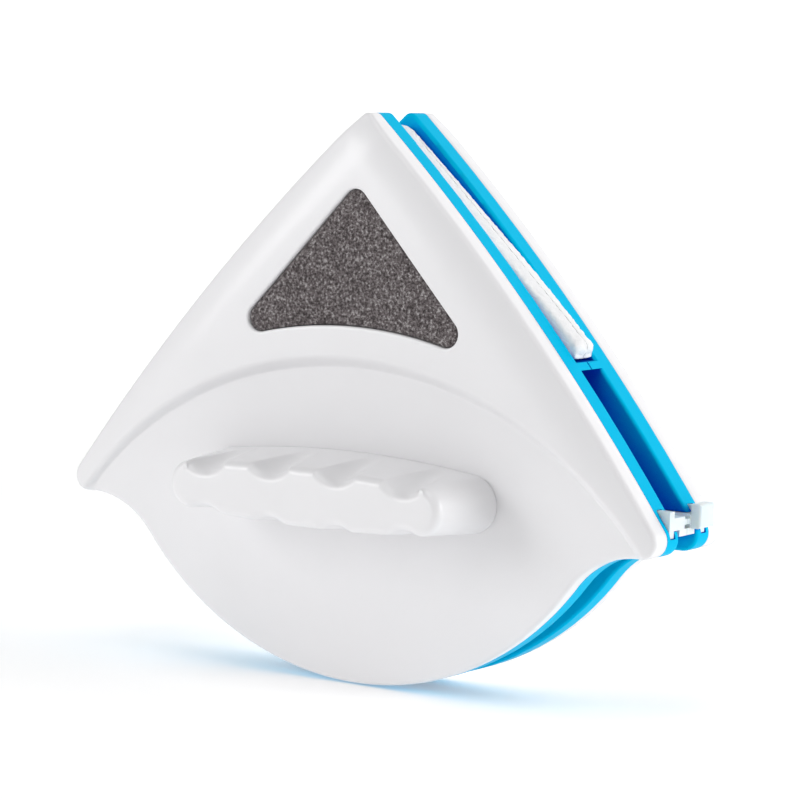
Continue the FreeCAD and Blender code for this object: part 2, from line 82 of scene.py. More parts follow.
# How the skins are rounded and how finely they are divided, in millimetres
RIM_ROLL, RIM_FOOT, WINDOW_LIP = 1.3, 0.25, 0.7
OUTLINE_STEP, NET_STEP, NET_MARGIN = 1.6, 1.15, 0.8
GRIP_ROLL, GRIP_NET_STEP, GRIP_NET_MARGIN = 2.4, 1.6, 0.7
FOAM_NET_STEP, FOAM_NET_SHIFT, FOAM_NET_MARGIN = 0.55, 0.27, 0.45
FOAM_DROP = 0.9                     # from the plate's top down to the foam's
PAD_GAP, PAD_PRESSED, PAD_MIDDLE = 0.12, 1.9, 2.8
PAD_VOXEL, PAD_NAP = 1.3, 0.22

CHORD = math.hypot(HALF_WIDTH, APEX_HEIGHT)
SIDE_RADIUS = (CHORD ** 2 / 4 + SIDE_SAGITTA ** 2) / (2 * SIDE_SAGITTA)
SIDE_CENTRE = (
    HALF_WIDTH / 2 - APEX_HEIGHT / CHORD * (SIDE_RADIUS - SIDE_SAGITTA),
    APEX_HEIGHT / 2 - HALF_WIDTH / CHORD * (SIDE_RADIUS - SIDE_SAGITTA),
)
STEP_CENTRE_Y = STEP_TOP_Y - STEP_RADIUS


# Shared geometry -------------------------------------------------------------------------------------
def smaller(a, b, k):
    """The smaller of the two, with the corner between them rounded over a width of about k."""
    h = max(k - abs(a - b), 0.0) / k
    return min(a, b) - h * h * k / 4


def larger(a, b, k):
    return -smaller(-a, -b, k)


def smoothstep(value, start, stop):
    t = np.clip((value - start) / (stop - start), 0, 1)
    return t * t * (3 - 2 * t)


def toward(origin, target, distance):
    away = math.hypot(target[0] - origin[0], target[1] - origin[1])
    return tuple(o + (t - o) * distance / away for o, t in zip(origin, target))


def moved_out(ring, distance):
    """The points of a ring of points and outward normals, moved outwards."""
    return [(p[0] + n[0] * distance, p[1] + n[1] * distance) for p, n in ring]


def inside_polygon(points, polygon):
    x, y = points[:, 0], points[:, 1]
    result = np.zeros(len(points), bool)
    for (x0, y0), (x1, y1) in zip(polygon, np.roll(polygon, -1, axis=0)):
        if y0 != y1:
            result ^= ((y0 > y) != (y1 > y)) & (x < (x1 - x0) * (y - y0) / (y1 - y0) + x0)
    return result


def distance_to_edge(points, start, stop):
    edge = stop - start
    t = np.clip(((points - start) @ edge) / max(edge @ edge, 1e-12), 0, 1)
    return np.hypot(*(points - start - t[:, None] * edge).T)


def distance_to_loop(points, loop):
    best = np.full(len(points), 1e9)
    for start, stop in zip(loop, np.roll(loop, -1, axis=0)):
        best = np.minimum(best, distance_to_edge(points, start, stop))
    return best


# Making meshes ---------------------------------------------------------------------------------------
def to_row(point, outer):
    """A point of a half's bench frame, in millimetres, as a point of the row frame, in metres."""
    x, y, u = point
    return (-x * MM, u * MM, y * MM) if outer else (x * MM, -u * MM, y * MM)


class Skin:
    """A mesh in a half's bench frame, put together from closed loops of points."""

    def __init__(self):
        self.verts, self.faces = [], []

    def loop(self, points, heights):
        start = len(self.verts)
        self.verts.extend((p[0], p[1], u) for p, u in zip(points, heights))
        return list(range(start, len(self.verts)))

    def bridge(self, loops):
        """Bands of quads, each from one loop to the next."""
        for a, b in zip(loops, loops[1:]):
            n = len(a)
            self.faces.extend((a[i], a[(i + 1) % n], b[(i + 1) % n], b[i]) for i in range(n))

    def flat(self, ring):
        return np.array([self.verts[i][:2] for i in ring])

    def fill(self, border, holes, net, height):
        """Triangles inside the border and outside the holes, over the net.

        height(x, y, i) gives the height at the net's point i, or at a crossing, where i is None.
        """
        rings = [border] + holes
        coords, edges = [], []
        for ring in rings:
            start, n = len(coords), len(ring)
            coords += [self.verts[i][:2] for i in ring]
            edges += [(start + i, start + (i + 1) % n) for i in range(n)]
        known = [i for ring in rings for i in ring]
        coords += net.tolist()
        made = delaunay_2d_cdt([Vector(c) for c in coords], edges, [], 1, 1e-6)
        points, triangles, sources = made[0], made[2], made[3]
        ids = []
        for point, source in zip(points, sources):
            if source and source[0] < len(known):
                ids.append(known[source[0]])
                continue
            ids.append(len(self.verts))
            place = source[0] - len(known) if source else None
            self.verts.append((point.x, point.y, height(point.x, point.y, place)))
        centres = np.array([[sum(points[i].x for i in t) / 3, sum(points[i].y for i in t) / 3]
                            for t in triangles])
        good = np.ones(len(triangles), bool)
        for ring in holes:
            good &= ~inside_polygon(centres, self.flat(ring))
        self.faces.extend(tuple(ids[i] for i in t) for t, g in zip(triangles, good) if g)

    def build(self, name, outer):
        mesh = bpy.data.meshes.new(name)
        mesh.from_pydata([to_row(v, outer) for v in self.verts], [], self.faces)
        mesh.validate()
        bm = bmesh.new()
        bm.from_mesh(mesh)
        bmesh.ops.recalc_face_normals(bm, faces=bm.faces)
        bm.to_mesh(mesh)
        bm.free()
        return link_smooth(name, mesh)


def link_smooth(name, mesh):
    for polygon in mesh.polygons:
        polygon.use_smooth = True
    obj = bpy.data.objects.new(name, mesh)
    bpy.context.scene.collection.objects.link(obj)
    return obj


def smooth_by_angle(obj, degrees):
    bpy.ops.object.select_all(action="DESELECT")
    obj.select_set(True)
    bpy.context.view_layer.objects.active = obj
    bpy.ops.object.shade_smooth_by_angle(angle=math.radians(degrees))


# The body's outline ----------------------------------------------------------------------------------
def arc_points(centre, radius, start, stop, step, grow=0.0):
    """Points and normals along a circle, from the direction of start the short way round to that of stop."""
    a0 = math.atan2(start[1] - centre[1], start[0] - centre[0])
    a1 = math.atan2(stop[1] - centre[1], stop[0] - centre[0])
    turn = (a1 - a0 + math.pi) % (2 * math.pi) - math.pi
    n = max(2, int(abs(turn) * radius / step))
    angles = [a0 + turn * i / n for i in range(n)]
    radius += grow
    return [((centre[0] + radius * math.cos(a), centre[1] + radius * math.sin(a)),
             (math.cos(a), math.sin(a))) for a in angles]


def outline(step):
    """The outline's points and outward normals, clockwise from the apex."""
    reach = SIDE_RADIUS - APEX_ROUND
    apex = (0.0, math.sqrt(reach ** 2 - SIDE_CENTRE[0] ** 2) + SIDE_CENTRE[1])
    apex_end = toward(SIDE_CENTRE, apex, SIDE_RADIUS)
    corner_y = CORNER_ROUND - CORNER_DROP
    reach = SIDE_RADIUS - CORNER_ROUND
    corner = (math.sqrt(reach ** 2 - (corner_y - SIDE_CENTRE[1]) ** 2) + SIDE_CENTRE[0], corner_y)
    corner_end = toward(SIDE_CENTRE, corner, SIDE_RADIUS)
    tip = (corner[0], -CORNER_DROP)
    waist_y = -CORNER_DROP - WAIST_RADIUS
    waist_x = math.sqrt((BELLY_RADIUS + WAIST_RADIUS) ** 2 - (BELLY_CENTRE_Y - waist_y) ** 2)
    waist_end = toward((0.0, BELLY_CENTRE_Y), (waist_x, waist_y), BELLY_RADIUS)
    top = (0.0, apex[1] + APEX_ROUND)
    bottom = (0.0, BELLY_CENTRE_Y - BELLY_RADIUS)
    right = arc_points(apex, APEX_ROUND, top, apex_end, step / 3)
    right += arc_points(SIDE_CENTRE, SIDE_RADIUS, apex_end, corner_end, step)
    right += arc_points(corner, CORNER_ROUND, corner_end, tip, step / 3)
    right += [(tip, (0.0, -1.0))]
    waist = arc_points((waist_x, waist_y), WAIST_RADIUS, (waist_x, -CORNER_DROP), waist_end, step / 2)
    right += [(p, (-n[0], -n[1])) for p, n in waist]
    right += arc_points((0.0, BELLY_CENTRE_Y), BELLY_RADIUS, waist_end, bottom, step)
    left = [((-p[0], p[1]), (-n[0], n[1])) for p, n in reversed(right[1:])]
    return right + [(bottom, (0.0, -1.0))] + left


# The cover -------------------------------------------------------------------------------------------
def disc_height(y):
    """Height of the lower disc's surface above the parting plane."""
    return DISC_HEIGHT - (y - DISC_CREST_Y) ** 2 / (2 * DISC_BEND_RADIUS)


def cover_height(x, y):
    """Height of the cover's surface above the parting plane."""
    plate = PLATE_HEIGHT - (x * x + (y - CROWN_Y) ** 2) / (2 * CROWN_RADIUS)
    shoulder = plate
    for side in (-1, 1):
        gap = SIDE_RADIUS - math.hypot(side * x - SIDE_CENTRE[0], y - SIDE_CENTRE[1])
        share = 1 - min(max(gap, 0.0), SHOULDER_WIDTH) / SHOULDER_WIDTH
        shoulder -= max(plate - RIM_HEIGHT, 0.0) * share ** 2
    shoulder = larger(shoulder, RIM_HEIGHT - 1.5, 0.5)
    past_step = math.hypot(x, y - STEP_CENTRE_Y) - STEP_RADIUS
    ramp = STEP_FOOT + past_step / STEP_LEAN
    return smaller(shoulder, larger(disc_height(y), ramp, 0.35), 1.2)


def window_loop(grow, step=0.8):
    """The sponge window's outline, moved outwards by grow."""
    rise, round_r = WINDOW_ARC_RISE, WINDOW_ROUND
    foot = (WINDOW_HALF_WIDTH, WINDOW_FOOT_Y)
    tip = (0.0, WINDOW_TOP_Y)
    arc_r = (foot[0] ** 2 + rise ** 2) / (2 * rise)
    arc_centre = (0.0, foot[1] + rise - arc_r)
    ux, uy = foot[0] - tip[0], foot[1] - tip[1]
    length = math.hypot(ux, uy)
    ux, uy = ux / length, uy / length
    out = (-uy, ux)                                  # outward normal of the right-hand side
    top_centre = (0.0, tip[1] - round_r / out[1])
    # the foot's rounding touches the side and the arc from within the window
    lo, hi = 0.0, length
    for _ in range(60):
        mid = (lo + hi) / 2
        c = (tip[0] + ux * mid - out[0] * round_r, tip[1] + uy * mid - out[1] * round_r)
        if math.hypot(c[0], c[1] - arc_centre[1]) > arc_r + round_r:
            lo = mid
        else:
            hi = mid
    foot_centre = c
    side_start = (top_centre[0] + out[0] * round_r, top_centre[1] + out[1] * round_r)
    side_end = (foot_centre[0] + out[0] * round_r, foot_centre[1] + out[1] * round_r)
    touch = toward(foot_centre, arc_centre, round_r)
    half = arc_points(top_centre, round_r, (0.0, 1e3), (top_centre[0] + out[0], top_centre[1] + out[1]),
                      step / 2, grow)
    run = math.hypot(side_end[0] - side_start[0], side_end[1] - side_start[1])
    n = int(run / step)
    for i in range(n):
        x, y = side_start[0] + ux * run * i / n, side_start[1] + uy * run * i / n
        half.append(((x + out[0] * grow, y + out[1] * grow), out))
    half += arc_points(foot_centre, round_r, (foot_centre[0] + out[0], foot_centre[1] + out[1]), touch,
                       step / 2, grow)
    half += arc_points(arc_centre, arc_r, touch, (0.0, arc_centre[1] + 1e3), step, -grow)
    points = [p for p, _ in half]
    middle = (0.0, arc_centre[1] + arc_r - grow)
    return points + [middle] + [(-x, y) for x, y in reversed(points[1:])]


def rim_loops(skin):
    """The cover's upright rim, from its inner lip over its foot and up to its rolled edge."""
    ring = outline(OUTLINE_STEP)
    edge = moved_out(ring, 0.0)
    heights = [cover_height(*p) for p in edge]
    lip = moved_out(ring, -COVER_WALL)
    flat = [PARTING] * len(ring)
    loops = [skin.loop(lip, [PARTING + 2.0] * len(ring)), skin.loop(lip, flat),
             skin.loop(moved_out(ring, -RIM_FOOT), flat), skin.loop(edge, [PARTING + RIM_FOOT] * len(ring))]
    rises = [h - RIM_ROLL - RIM_FOOT for h in heights]
    for share in (0.3, 0.6, 0.85, 1.0):
        loops.append(skin.loop(edge, [PARTING + (RIM_FOOT + rise * share) for rise in rises]))
    for inset in (0.04, 0.15, 0.35, 0.62, 0.95, 1.3, 1.9):
        points = moved_out(ring, -inset)
        short = max(RIM_ROLL - inset, 0.0)
        drop = RIM_ROLL - math.sqrt(RIM_ROLL ** 2 - short ** 2)
        loops.append(skin.loop(points, [PARTING + (cover_height(*p) - drop) for p in points]))
    return loops


def window_loops(skin):
    """The rounded lip of the sponge's window and the walls below it."""
    loops = []
    for grow, drop in ((1.0, 0.0), (WINDOW_LIP, 0.0), (WINDOW_LIP * 0.45, WINDOW_LIP * 0.16),
                       (WINDOW_LIP * 0.12, WINDOW_LIP * 0.5), (0.0, WINDOW_LIP), (0.0, 2.4), (-0.1, 4.0)):
        points = window_loop(grow)
        loops.append(skin.loop(points, [PARTING + (cover_height(*p) - drop) for p in points]))
    return loops


def rope_loops(skin):
    """The edge and the wall of the hole that the rope's grommet fills."""
    x, y, hole_r = ROPE_HOLE
    loops = []
    for grow, drop in ((0.8, 0.0), (0.2, 0.0), (0.0, 0.2), (0.0, 2.0)):
        radius = hole_r + grow
        points = [(x + radius * math.cos(a), y + radius * math.sin(a))
                  for a in np.linspace(0, 2 * math.pi, 49)[:-1]]
        loops.append(skin.loop(points, [PARTING + (cover_height(*p) - drop) for p in points]))
    return loops


def cover_net(keep_off):
    """An even net of points inside the first line and outside the others, with arcs along the step."""
    left, bottom, width, height = -103.5, -52, 206, 175
    net = []
    for row in range(int(height / (NET_STEP * 0.866)) + 1):
        shift = NET_STEP / 2 if row % 2 else 0.0
        for column in range(int(width / NET_STEP) + 2):
            net.append((left + column * NET_STEP + shift, bottom + row * NET_STEP * 0.866))
    net = np.array(net)
    past = np.hypot(net[:, 0], net[:, 1] - STEP_CENTRE_Y) - STEP_RADIUS
    net = net[(past < -1.6) | (past > 5.4)]
    swing = np.arange(math.radians(30), math.radians(150), 0.8 / STEP_RADIUS)
    for past in (-1.2, -0.8, -0.5, -0.25, 0.0, 0.25, 0.5, 0.9, 1.5, 2.2, 2.8, 3.3, 3.8, 4.3, 4.9):
        radius = STEP_RADIUS + past
        arc = np.stack([radius * np.cos(swing), STEP_CENTRE_Y + radius * np.sin(swing)], axis=1)
        net = np.concatenate([net, arc])
    net = net[inside_polygon(net, keep_off[0])]
    for line in keep_off[1:]:
        net = net[~inside_polygon(net, line)]
    for line in keep_off:
        net = net[distance_to_loop(net, line) > NET_MARGIN]
    return net


def cover_skin(name, outer):
    """One smooth skin for a cover: rolled rim, shoulders, plate, step, disc and the sponge's pocket."""
    skin = Skin()
    rim = rim_loops(skin)
    groups = [window_loops(skin)] + ([rope_loops(skin)] if outer else [])
    for loops in [rim] + groups:
        skin.bridge(loops)
    holes = [loops[0] for loops in groups]
    net = cover_net([skin.flat(ring) for ring in [rim[-1]] + holes])
    skin.fill(rim[-1], holes, net, lambda x, y, i: PARTING + cover_height(x, y))
    cover = skin.build(name, outer)
    smooth_by_angle(cover, 50)
    return cover


# The handle ------------------------------------------------------------------------------------------
def grip_ring(t, groove_t):
    """The handle's outline with its finger grooves, at height t: 0 at its foot, 1 at its flat front."""
    length, middle, end = (f + (g - f) * t for f, g in zip(GRIP_FOOT, GRIP_FACE))
    reach = length - end
    side_points, end_points = 280, 48
    radius = (reach ** 2 + (middle - end) ** 2) / (2 * (middle - end))
    points = []
    for side in (1, -1):
        for x in np.linspace(-reach, reach, side_points, endpoint=False) * side:
            y = end + math.sqrt(radius ** 2 - x * x) - math.sqrt(radius ** 2 - reach ** 2)
            for step in FINGER_STEPS:
                dx = x - step * FINGER_PITCH
                if abs(dx) < FINGER_RADIUS * 0.98:
                    foot_out = half_width(GRIP_FOOT, step * FINGER_PITCH) + FINGER_RADIUS - 0.4
                    face_out = half_width(GRIP_FACE, step * FINGER_PITCH) + FINGER_RADIUS - FINGER_DEPTH[side]
                    axis = foot_out + (face_out - foot_out) * groove_t
                    y = smaller(y, axis - math.sqrt(FINGER_RADIUS ** 2 - dx * dx), 0.7)
            points.append((x, side * y))
        for angle in np.linspace(math.pi / 2, -math.pi / 2, end_points, endpoint=False):
            points.append((side * (reach + end * math.cos(angle)), side * end * math.sin(angle)))
    return points


def half_width(size, x):
    length, middle, end = size
    return end + (middle - end) * (1 - (x / (length - end)) ** 2)


def inset_loop(points, distance):
    """The closed loop moved towards its inside."""
    p = np.array(points)
    tangent = np.roll(p, -1, axis=0) - np.roll(p, 1, axis=0)
    normal = np.stack([tangent[:, 1], -tangent[:, 0]], axis=1)
    normal /= np.linalg.norm(normal, axis=1)[:, None]
    area = np.sum(p[:, 0] * np.roll(p[:, 1], -1) - np.roll(p[:, 0], -1) * p[:, 1])
    return p - normal * distance * (1 if area > 0 else -1)


def handle_skin(name, outer):
    """The grip: a contact groove at its foot, sides with finger grooves and a flat front with round edges."""
    skin = Skin()
    foot_u, face_u, disc_u = PARTING + 1.0, PARTING + GRIP_HEIGHT, PARTING + DISC_HEIGHT
    groove_u = disc_u + 2.0

    def ring_at(u):
        return np.array(grip_ring((u - foot_u) / (face_u - foot_u), (u - groove_u) / (face_u - groove_u)))

    def add(points, heights):
        return skin.loop([(x, y + GRIP_Y) for x, y in points], heights)

    first = ring_at(disc_u - 0.6)
    disc = [PARTING + disc_height(p[1] + GRIP_Y) for p in first]
    loops = []
    for inset, rise in ((0.35, -0.25), (0.32, 0.12), (0.1, 0.32), (0.0, 0.6)):
        loops.append(add(inset_loop(first, inset), [h + rise for h in disc]))
    for u in np.linspace(disc_u + 0.9, face_u - GRIP_ROLL, 44):
        loops.append(add(ring_at(u), [u] * len(first)))
    for angle in np.linspace(0, math.pi / 2, 9)[1:]:
        u = face_u - GRIP_ROLL + GRIP_ROLL * math.sin(angle)
        edge = ring_at(min(u, face_u - GRIP_ROLL * 0.5))
        loops.append(add(inset_loop(edge, GRIP_ROLL * (1 - math.cos(angle))), [u] * len(first)))
    skin.bridge(loops)
    front = skin.flat(loops[-1])
    net = np.array([(x, y) for x in np.arange(-46, 46.5, GRIP_NET_STEP)
                    for y in np.arange(-4, 20, GRIP_NET_STEP)])
    net = net[inside_polygon(net, front)]
    net = net[distance_to_loop(net, front) > GRIP_NET_MARGIN]
    skin.fill(loops[-1], [], net, lambda x, y, i: face_u)
    skin.faces.append(tuple(reversed(loops[0])))
    handle = skin.build(name, outer)
    smooth_by_angle(handle, 60)
    return handle


# Soft pieces -----------------------------------------------------------------------------------------
def foam_block(name, outer, seed):
    """The scouring sponge: cut foam with open cells, its edges sunk a little below the window's lip."""
    skin = Skin()
    floor_u = PARTING + PLATE_HEIGHT - WINDOW_DEPTH
    top_u = PARTING + PLATE_HEIGHT - FOAM_DROP
    side = window_loop(-0.2, 0.5)
    loops = [skin.loop(points, [u] * len(side))
             for points, u in ((side, floor_u), (side, top_u - 0.9), (window_loop(-0.35, 0.5), top_u - 0.35))]
    skin.faces.append(tuple(reversed(loops[0])))
    skin.bridge(loops)
    net = np.array([(x + (FOAM_NET_SHIFT if row % 2 else 0.0), y)
                    for row, y in enumerate(np.arange(44, 100, FOAM_NET_STEP))
                    for x in np.arange(-42, 42, FOAM_NET_STEP)])
    border = np.array(side)
    net = net[inside_polygon(net, border)]
    gaps = distance_to_loop(net, border)
    net, gaps = net[gaps > FOAM_NET_MARGIN], gaps[gaps > FOAM_NET_MARGIN]

    def height(x, y, i):
        gap = 1.0 if i is None else gaps[i]
        cells = noise.noise(Vector((x * 0.9, y * 0.9, seed)))
        fine = noise.noise(Vector((x * 2.1, y * 2.1, seed + 7)))
        pits = min(0.0, cells * 1.1 + fine * 0.6 + 0.1)
        return top_u - 0.3 * math.exp(-gap / 1.2) + 0.25 * fine + 0.75 * pits

    skin.fill(loops[-1], [], net, height)
    return skin.build(name, outer)


def run_cloth(obj, pressure, frames):
    """Where a cloth simulation under inner pressure takes the object's points."""
    scene = bpy.context.scene
    cloth = obj.modifiers.new("cloth", "CLOTH")
    settings = cloth.settings
    settings.use_pressure = True
    settings.uniform_pressure_force = pressure
    settings.tension_stiffness = settings.compression_stiffness = 20
    settings.bending_stiffness = 0.6
    settings.effector_weights.gravity = 0
    settings.quality = 6
    cloth.collision_settings.use_self_collision = False
    cloth.point_cache.frame_start = 1
    cloth.point_cache.frame_end = frames
    for number in range(1, frames + 1):
        scene.frame_set(number)
    graph = bpy.context.evaluated_depsgraph_get()
    swollen = obj.evaluated_get(graph)
    result = np.empty(len(obj.data.vertices) * 3)
    swollen.data.vertices.foreach_get("co", result)
    obj.modifiers.remove(cloth)
    scene.frame_set(1)
    return result.reshape(-1, 3)


def nearest_flank(spots, hull):
    """Each spot's distance inside the hull, and the outward normal of the edge that is nearest."""
    best = np.full(len(spots), 1e9)
    out = np.zeros_like(spots)
    for start, stop in zip(hull, np.roll(hull, -1, axis=0)):
        edge = stop - start
        if np.hypot(*edge) < 1e-6:
            continue
        gap = distance_to_edge(spots, start, stop)
        nearer = gap < best
        best[nearer] = gap[nearer]
        out[nearer] = np.array([edge[1], -edge[0]]) / np.hypot(*edge)
    out *= np.sign(np.sum(out * (spots - hull.mean(axis=0)), axis=1))[:, None]
    return np.where(inside_polygon(spots, hull), best, -best), out


def press_sides(points, depth, rest, belly):
    """The two halves' pads press together at the glass, so their flanks bulge, most at the lower end."""
    flat = [Vector((p[0], p[2])) for p in rest]
    hull = np.array([flat[i] for i in convex_hull_2d(flat)])
    top, corner = rest[:, 2].max(), hull[np.argmax(hull[:, 0]), 1]
    spots = points[:, [0, 2]]
    inset, out = nearest_flank(spots, hull)
    along = np.clip((top - spots[:, 1]) / (top - corner), 0, 1)
    end = np.clip((along - 0.94) / 0.06, 0, 1) ** 2
    swell = belly * (0.1 + 0.9 * along) - 1.8 * MM * end
    reach = depth / ((3.2 + 3.2 * np.minimum(along / 0.7, 1.0)) * MM)
    target = -swell + 1.6 * MM * (1 - np.sqrt(np.clip(1 - reach ** 2, 0, 1)))
    weight = smoothstep(inset, 5.0 * MM, 1.4 * MM) * smoothstep(np.abs(out[:, 0]), 0.25, 0.5)
    points[:, [0, 2]] += out * ((inset - target) * weight)[:, None]


def mesh_points(mesh, attribute):
    values = np.empty(len(mesh.vertices) * 3)
    mesh.vertices.foreach_get(attribute, values)
    return values.reshape(-1, 3)


def move_points(mesh, points):
    mesh.vertices.foreach_set("co", points.ravel())
    mesh.update()


def swollen_pad(pad, sign, cap, belly):
    """The CAD pad, started a little thin, swelled by the cloth simulation and pressed at the glass plane."""
    rest = mesh_points(pad.data, "co")
    middle_y = sign * PAD_MIDDLE * MM
    start = rest.copy()
    start[:, 1] = middle_y + (rest[:, 1] - middle_y) * 0.86
    move_points(pad.data, start)
    end = run_cloth(pad, 4.0, 16)
    shift = end - start
    length = np.linalg.norm(shift, axis=1)
    shift *= np.where(length > cap, cap / np.maximum(length, 1e-9), 1.0)[:, None]
    points = start + shift
    depth = np.clip(points[:, 1] * sign, PAD_GAP * MM, PAD_DEPTH * MM)
    stretch = (PAD_DEPTH - PAD_GAP) / (PAD_DEPTH - PAD_PRESSED)
    depth = PAD_GAP * MM + np.maximum(depth - PAD_PRESSED * MM, 0.0) * stretch
    points[:, 1] = depth * sign
    if belly:
        press_sides(points, depth, rest, belly)
    move_points(pad.data, points)


def add_nap(pad, sign, seed):
    """The fleece's uneven nap, kept off the glass plane."""
    points, normals = mesh_points(pad.data, "co"), mesh_points(pad.data, "normal")
    nap = np.array([noise.noise(Vector(p) * 900 + Vector((seed, 0, 0))) + 0.6 * noise.noise(Vector(p) * 2100)
                    for p in points])
    points += normals * (nap * PAD_NAP * MM)[:, None]
    points[:, 1] = np.clip(points[:, 1] * sign, PAD_GAP * 2 / 3 * MM, PAD_DEPTH * MM) * sign
    move_points(pad.data, points)


def cotton_pad(name, node, outer, seed, cap, belly):
    """A fleece pad made from its CAD pad. Cap and belly are the most it swells and bulges, in millimetres."""
    pad = bpy.data.objects.new(name, frame["nodes"][node].data.copy())
    bpy.context.scene.collection.objects.link(pad)
    remesh = pad.modifiers.new("remesh", "REMESH")
    remesh.mode = "VOXEL"
    remesh.voxel_size = PAD_VOXEL * MM
    apply_modifiers(pad)
    sign = 1.0 if outer else -1.0
    swollen_pad(pad, sign, cap * MM, belly * MM)
    for polygon in pad.data.polygons:
        polygon.use_smooth = True
    subdivide = pad.modifiers.new("subdivide", "SUBSURF")
    subdivide.levels = subdivide.render_levels = 1
    apply_modifiers(pad)
    add_nap(pad, sign, seed)
    return pad


def apply_modifiers(obj):
    graph = bpy.context.evaluated_depsgraph_get()
    mesh = bpy.data.meshes.new_from_object(obj.evaluated_get(graph))
    obj.modifiers.clear()
    obj.data = mesh


# Materials -------------------------------------------------------------------------------------------
class Nodes:
    """A material's node tree with short ways to add and join its nodes."""

    def __init__(self, name):
        self.name = name
        self.material = bpy.data.materials.new(name)
        self.material.use_nodes = True
        self.tree = self.material.node_tree
        self.shader = self.tree.nodes["Principled BSDF"]
        self.coords = self.tree.nodes.new("ShaderNodeTexCoord").outputs["Object"]

    def add(self, kind, **values):
        node = self.tree.nodes.new("ShaderNode" + kind)
        for key, value in values.items():
            if key in node.inputs:
                node.inputs[key].default_value = value
            else:
                setattr(node, key, value)
        return node

    def join(self, output, target):
        self.tree.links.new(output, target)

    def noise(self, scale, detail=3.0, roughness=0.5):
        node = self.add("TexNoise", Scale=scale, Detail=detail, Roughness=roughness)
        self.join(self.coords, node.inputs["Vector"])
        return node.outputs["Fac"]

    def ramp(self, factor, stops):
        node = self.add("ValToRGB")
        ramp = node.color_ramp
        while len(ramp.elements) < len(stops):
            ramp.elements.new(0.5)
        for element, (position, colour) in zip(ramp.elements, stops):
            element.position = position
            element.color = (*colour, 1.0)
        self.join(factor, node.inputs["Fac"])
        return node.outputs["Color"]

    def map(self, factor, low, high, start=0.0, stop=1.0):
        """The factor's range from start to stop, stretched to run from low to high."""
        node = self.add("MapRange")
        for key, value in (("From Min", start), ("From Max", stop), ("To Min", low), ("To Max", high)):
            node.inputs[key].default_value = value
        self.join(factor, node.inputs["Value"])
        return node.outputs["Result"]

    def along(self, axis):
        node = self.add("SeparateXYZ")
        self.join(self.coords, node.inputs["Vector"])
        return node.outputs[axis]

    def bump(self, height, strength, distance):
        node = self.add("Bump", Strength=strength, Distance=distance)
        self.join(height, node.inputs["Height"])
        self.join(node.outputs["Normal"], self.shader.inputs["Normal"])

    def set(self, **values):
        for key, value in values.items():
            self.shader.inputs[key.replace("_", " ")].default_value = value

    def colour(self, socket):
        self.join(socket, self.shader.inputs["Base Color"])


def moulded_plastic(name, colour, low_rough, high_rough, texture):
    """Injection-moulded plastic: faint flow marks in its colour and gloss, and a fine moulded texture."""
    n = Nodes(name)
    flow = n.noise(38.0, 4.0)
    shade = tuple(c * 0.985 for c in colour)
    n.colour(n.ramp(flow, [(0.3, shade), (0.7, colour)]))
    n.join(n.map(n.noise(210.0, 3.0), low_rough, high_rough), n.shader.inputs["Roughness"])
    n.bump(n.noise(1900.0, 2.0), 0.35, texture)
    return n


def white_shell():
    n = moulded_plastic("white_shell", (0.83, 0.825, 0.84), 0.30, 0.38, 0.00002)
    n.set(Coat_Weight=0.3, Coat_Roughness=0.2)
    n.set(Subsurface_Weight=0.03, Subsurface_Radius=(0.002, 0.002, 0.002))
    return n


def cyan_plastic():
    """Cyan with painted shade: an ambient-occlusion mask darkens it to deep blue in the gap above the belly,
    where the two bases face each other.
    """
    n = moulded_plastic("cyan_plastic", (0.0, 0.49, 0.785), 0.36, 0.44, 0.00001)
    n.set(Specular_IOR_Level=0.012)
    face = n.shader.inputs["Base Color"].links[0].from_socket
    # painted shade: ambient occlusion, kept to above the belly, sets how far the cyan turns deep blue
    open_sky = n.add("AmbientOcclusion", Distance=0.02, samples=8)
    painted_shade_mask = n.add("Math", operation="MULTIPLY", use_clamp=True)
    n.join(n.map(open_sky.outputs["AO"], 1.75, -0.75), painted_shade_mask.inputs[0])
    n.join(n.map(n.along("Z"), 0.0, 1.0, -0.008, 0.004), painted_shade_mask.inputs[1])
    mix = n.add("Mix", data_type="RGBA")
    factor, shallow, painted_shade_colour = (mix.inputs[i] for i in (0, 6, 7))      # the sockets that mix colours
    n.join(painted_shade_mask.outputs["Value"], factor)
    n.join(face, shallow)
    # the deep blue of the painted shade
    painted_shade_colour.default_value = (0.0, 0.07, 0.60, 1.0)
    n.colour(mix.outputs[2])
    return n


def grey_plastic():
    return moulded_plastic("grey_plastic", (0.22, 0.23, 0.25), 0.35, 0.5, 0.00003)


def grey_foam():
    """Dark grit with pale specks."""
    n = Nodes("grey_foam")
    n.colour(n.ramp(n.noise(1300.0, 3.0, 0.6), [
        (0.36, (0.03, 0.024, 0.024)), (0.47, (0.10, 0.083, 0.085)),
        (0.57, (0.17, 0.15, 0.152)), (0.68, (0.42, 0.40, 0.40))]))
    n.set(Roughness=0.95, Sheen_Weight=0.2)
    n.bump(n.noise(1500.0, 4.0, 0.6), 0.8, 0.0004)
    return n


def white_cotton():
    n = Nodes("white_cotton")
    n.colour(n.ramp(n.noise(1400.0, 6.0, 0.7), [(0.3, (0.90, 0.90, 0.92)), (0.7, (0.97, 0.97, 0.98))]))
    n.set(Roughness=0.95, Sheen_Weight=0.45, Sheen_Roughness=0.6)
    n.set(Subsurface_Weight=0.15, Subsurface_Radius=(0.003, 0.003, 0.003))
    n.bump(n.noise(2600.0, 6.0, 0.75), 0.7, 0.0003)
    return n


def hook_tape():
    n = Nodes("hook_tape")
    weave = n.add("TexWave", Scale=420.0, Distortion=1.5)
    n.join(n.coords, weave.inputs["Vector"])
    n.colour(n.ramp(weave.outputs["Fac"], [(0.2, (0.5, 0.5, 0.5)), (0.8, (0.78, 0.78, 0.78))]))
    n.set(Roughness=0.9)
    n.bump(weave.outputs["Fac"], 0.8, 0.0004)
    return n


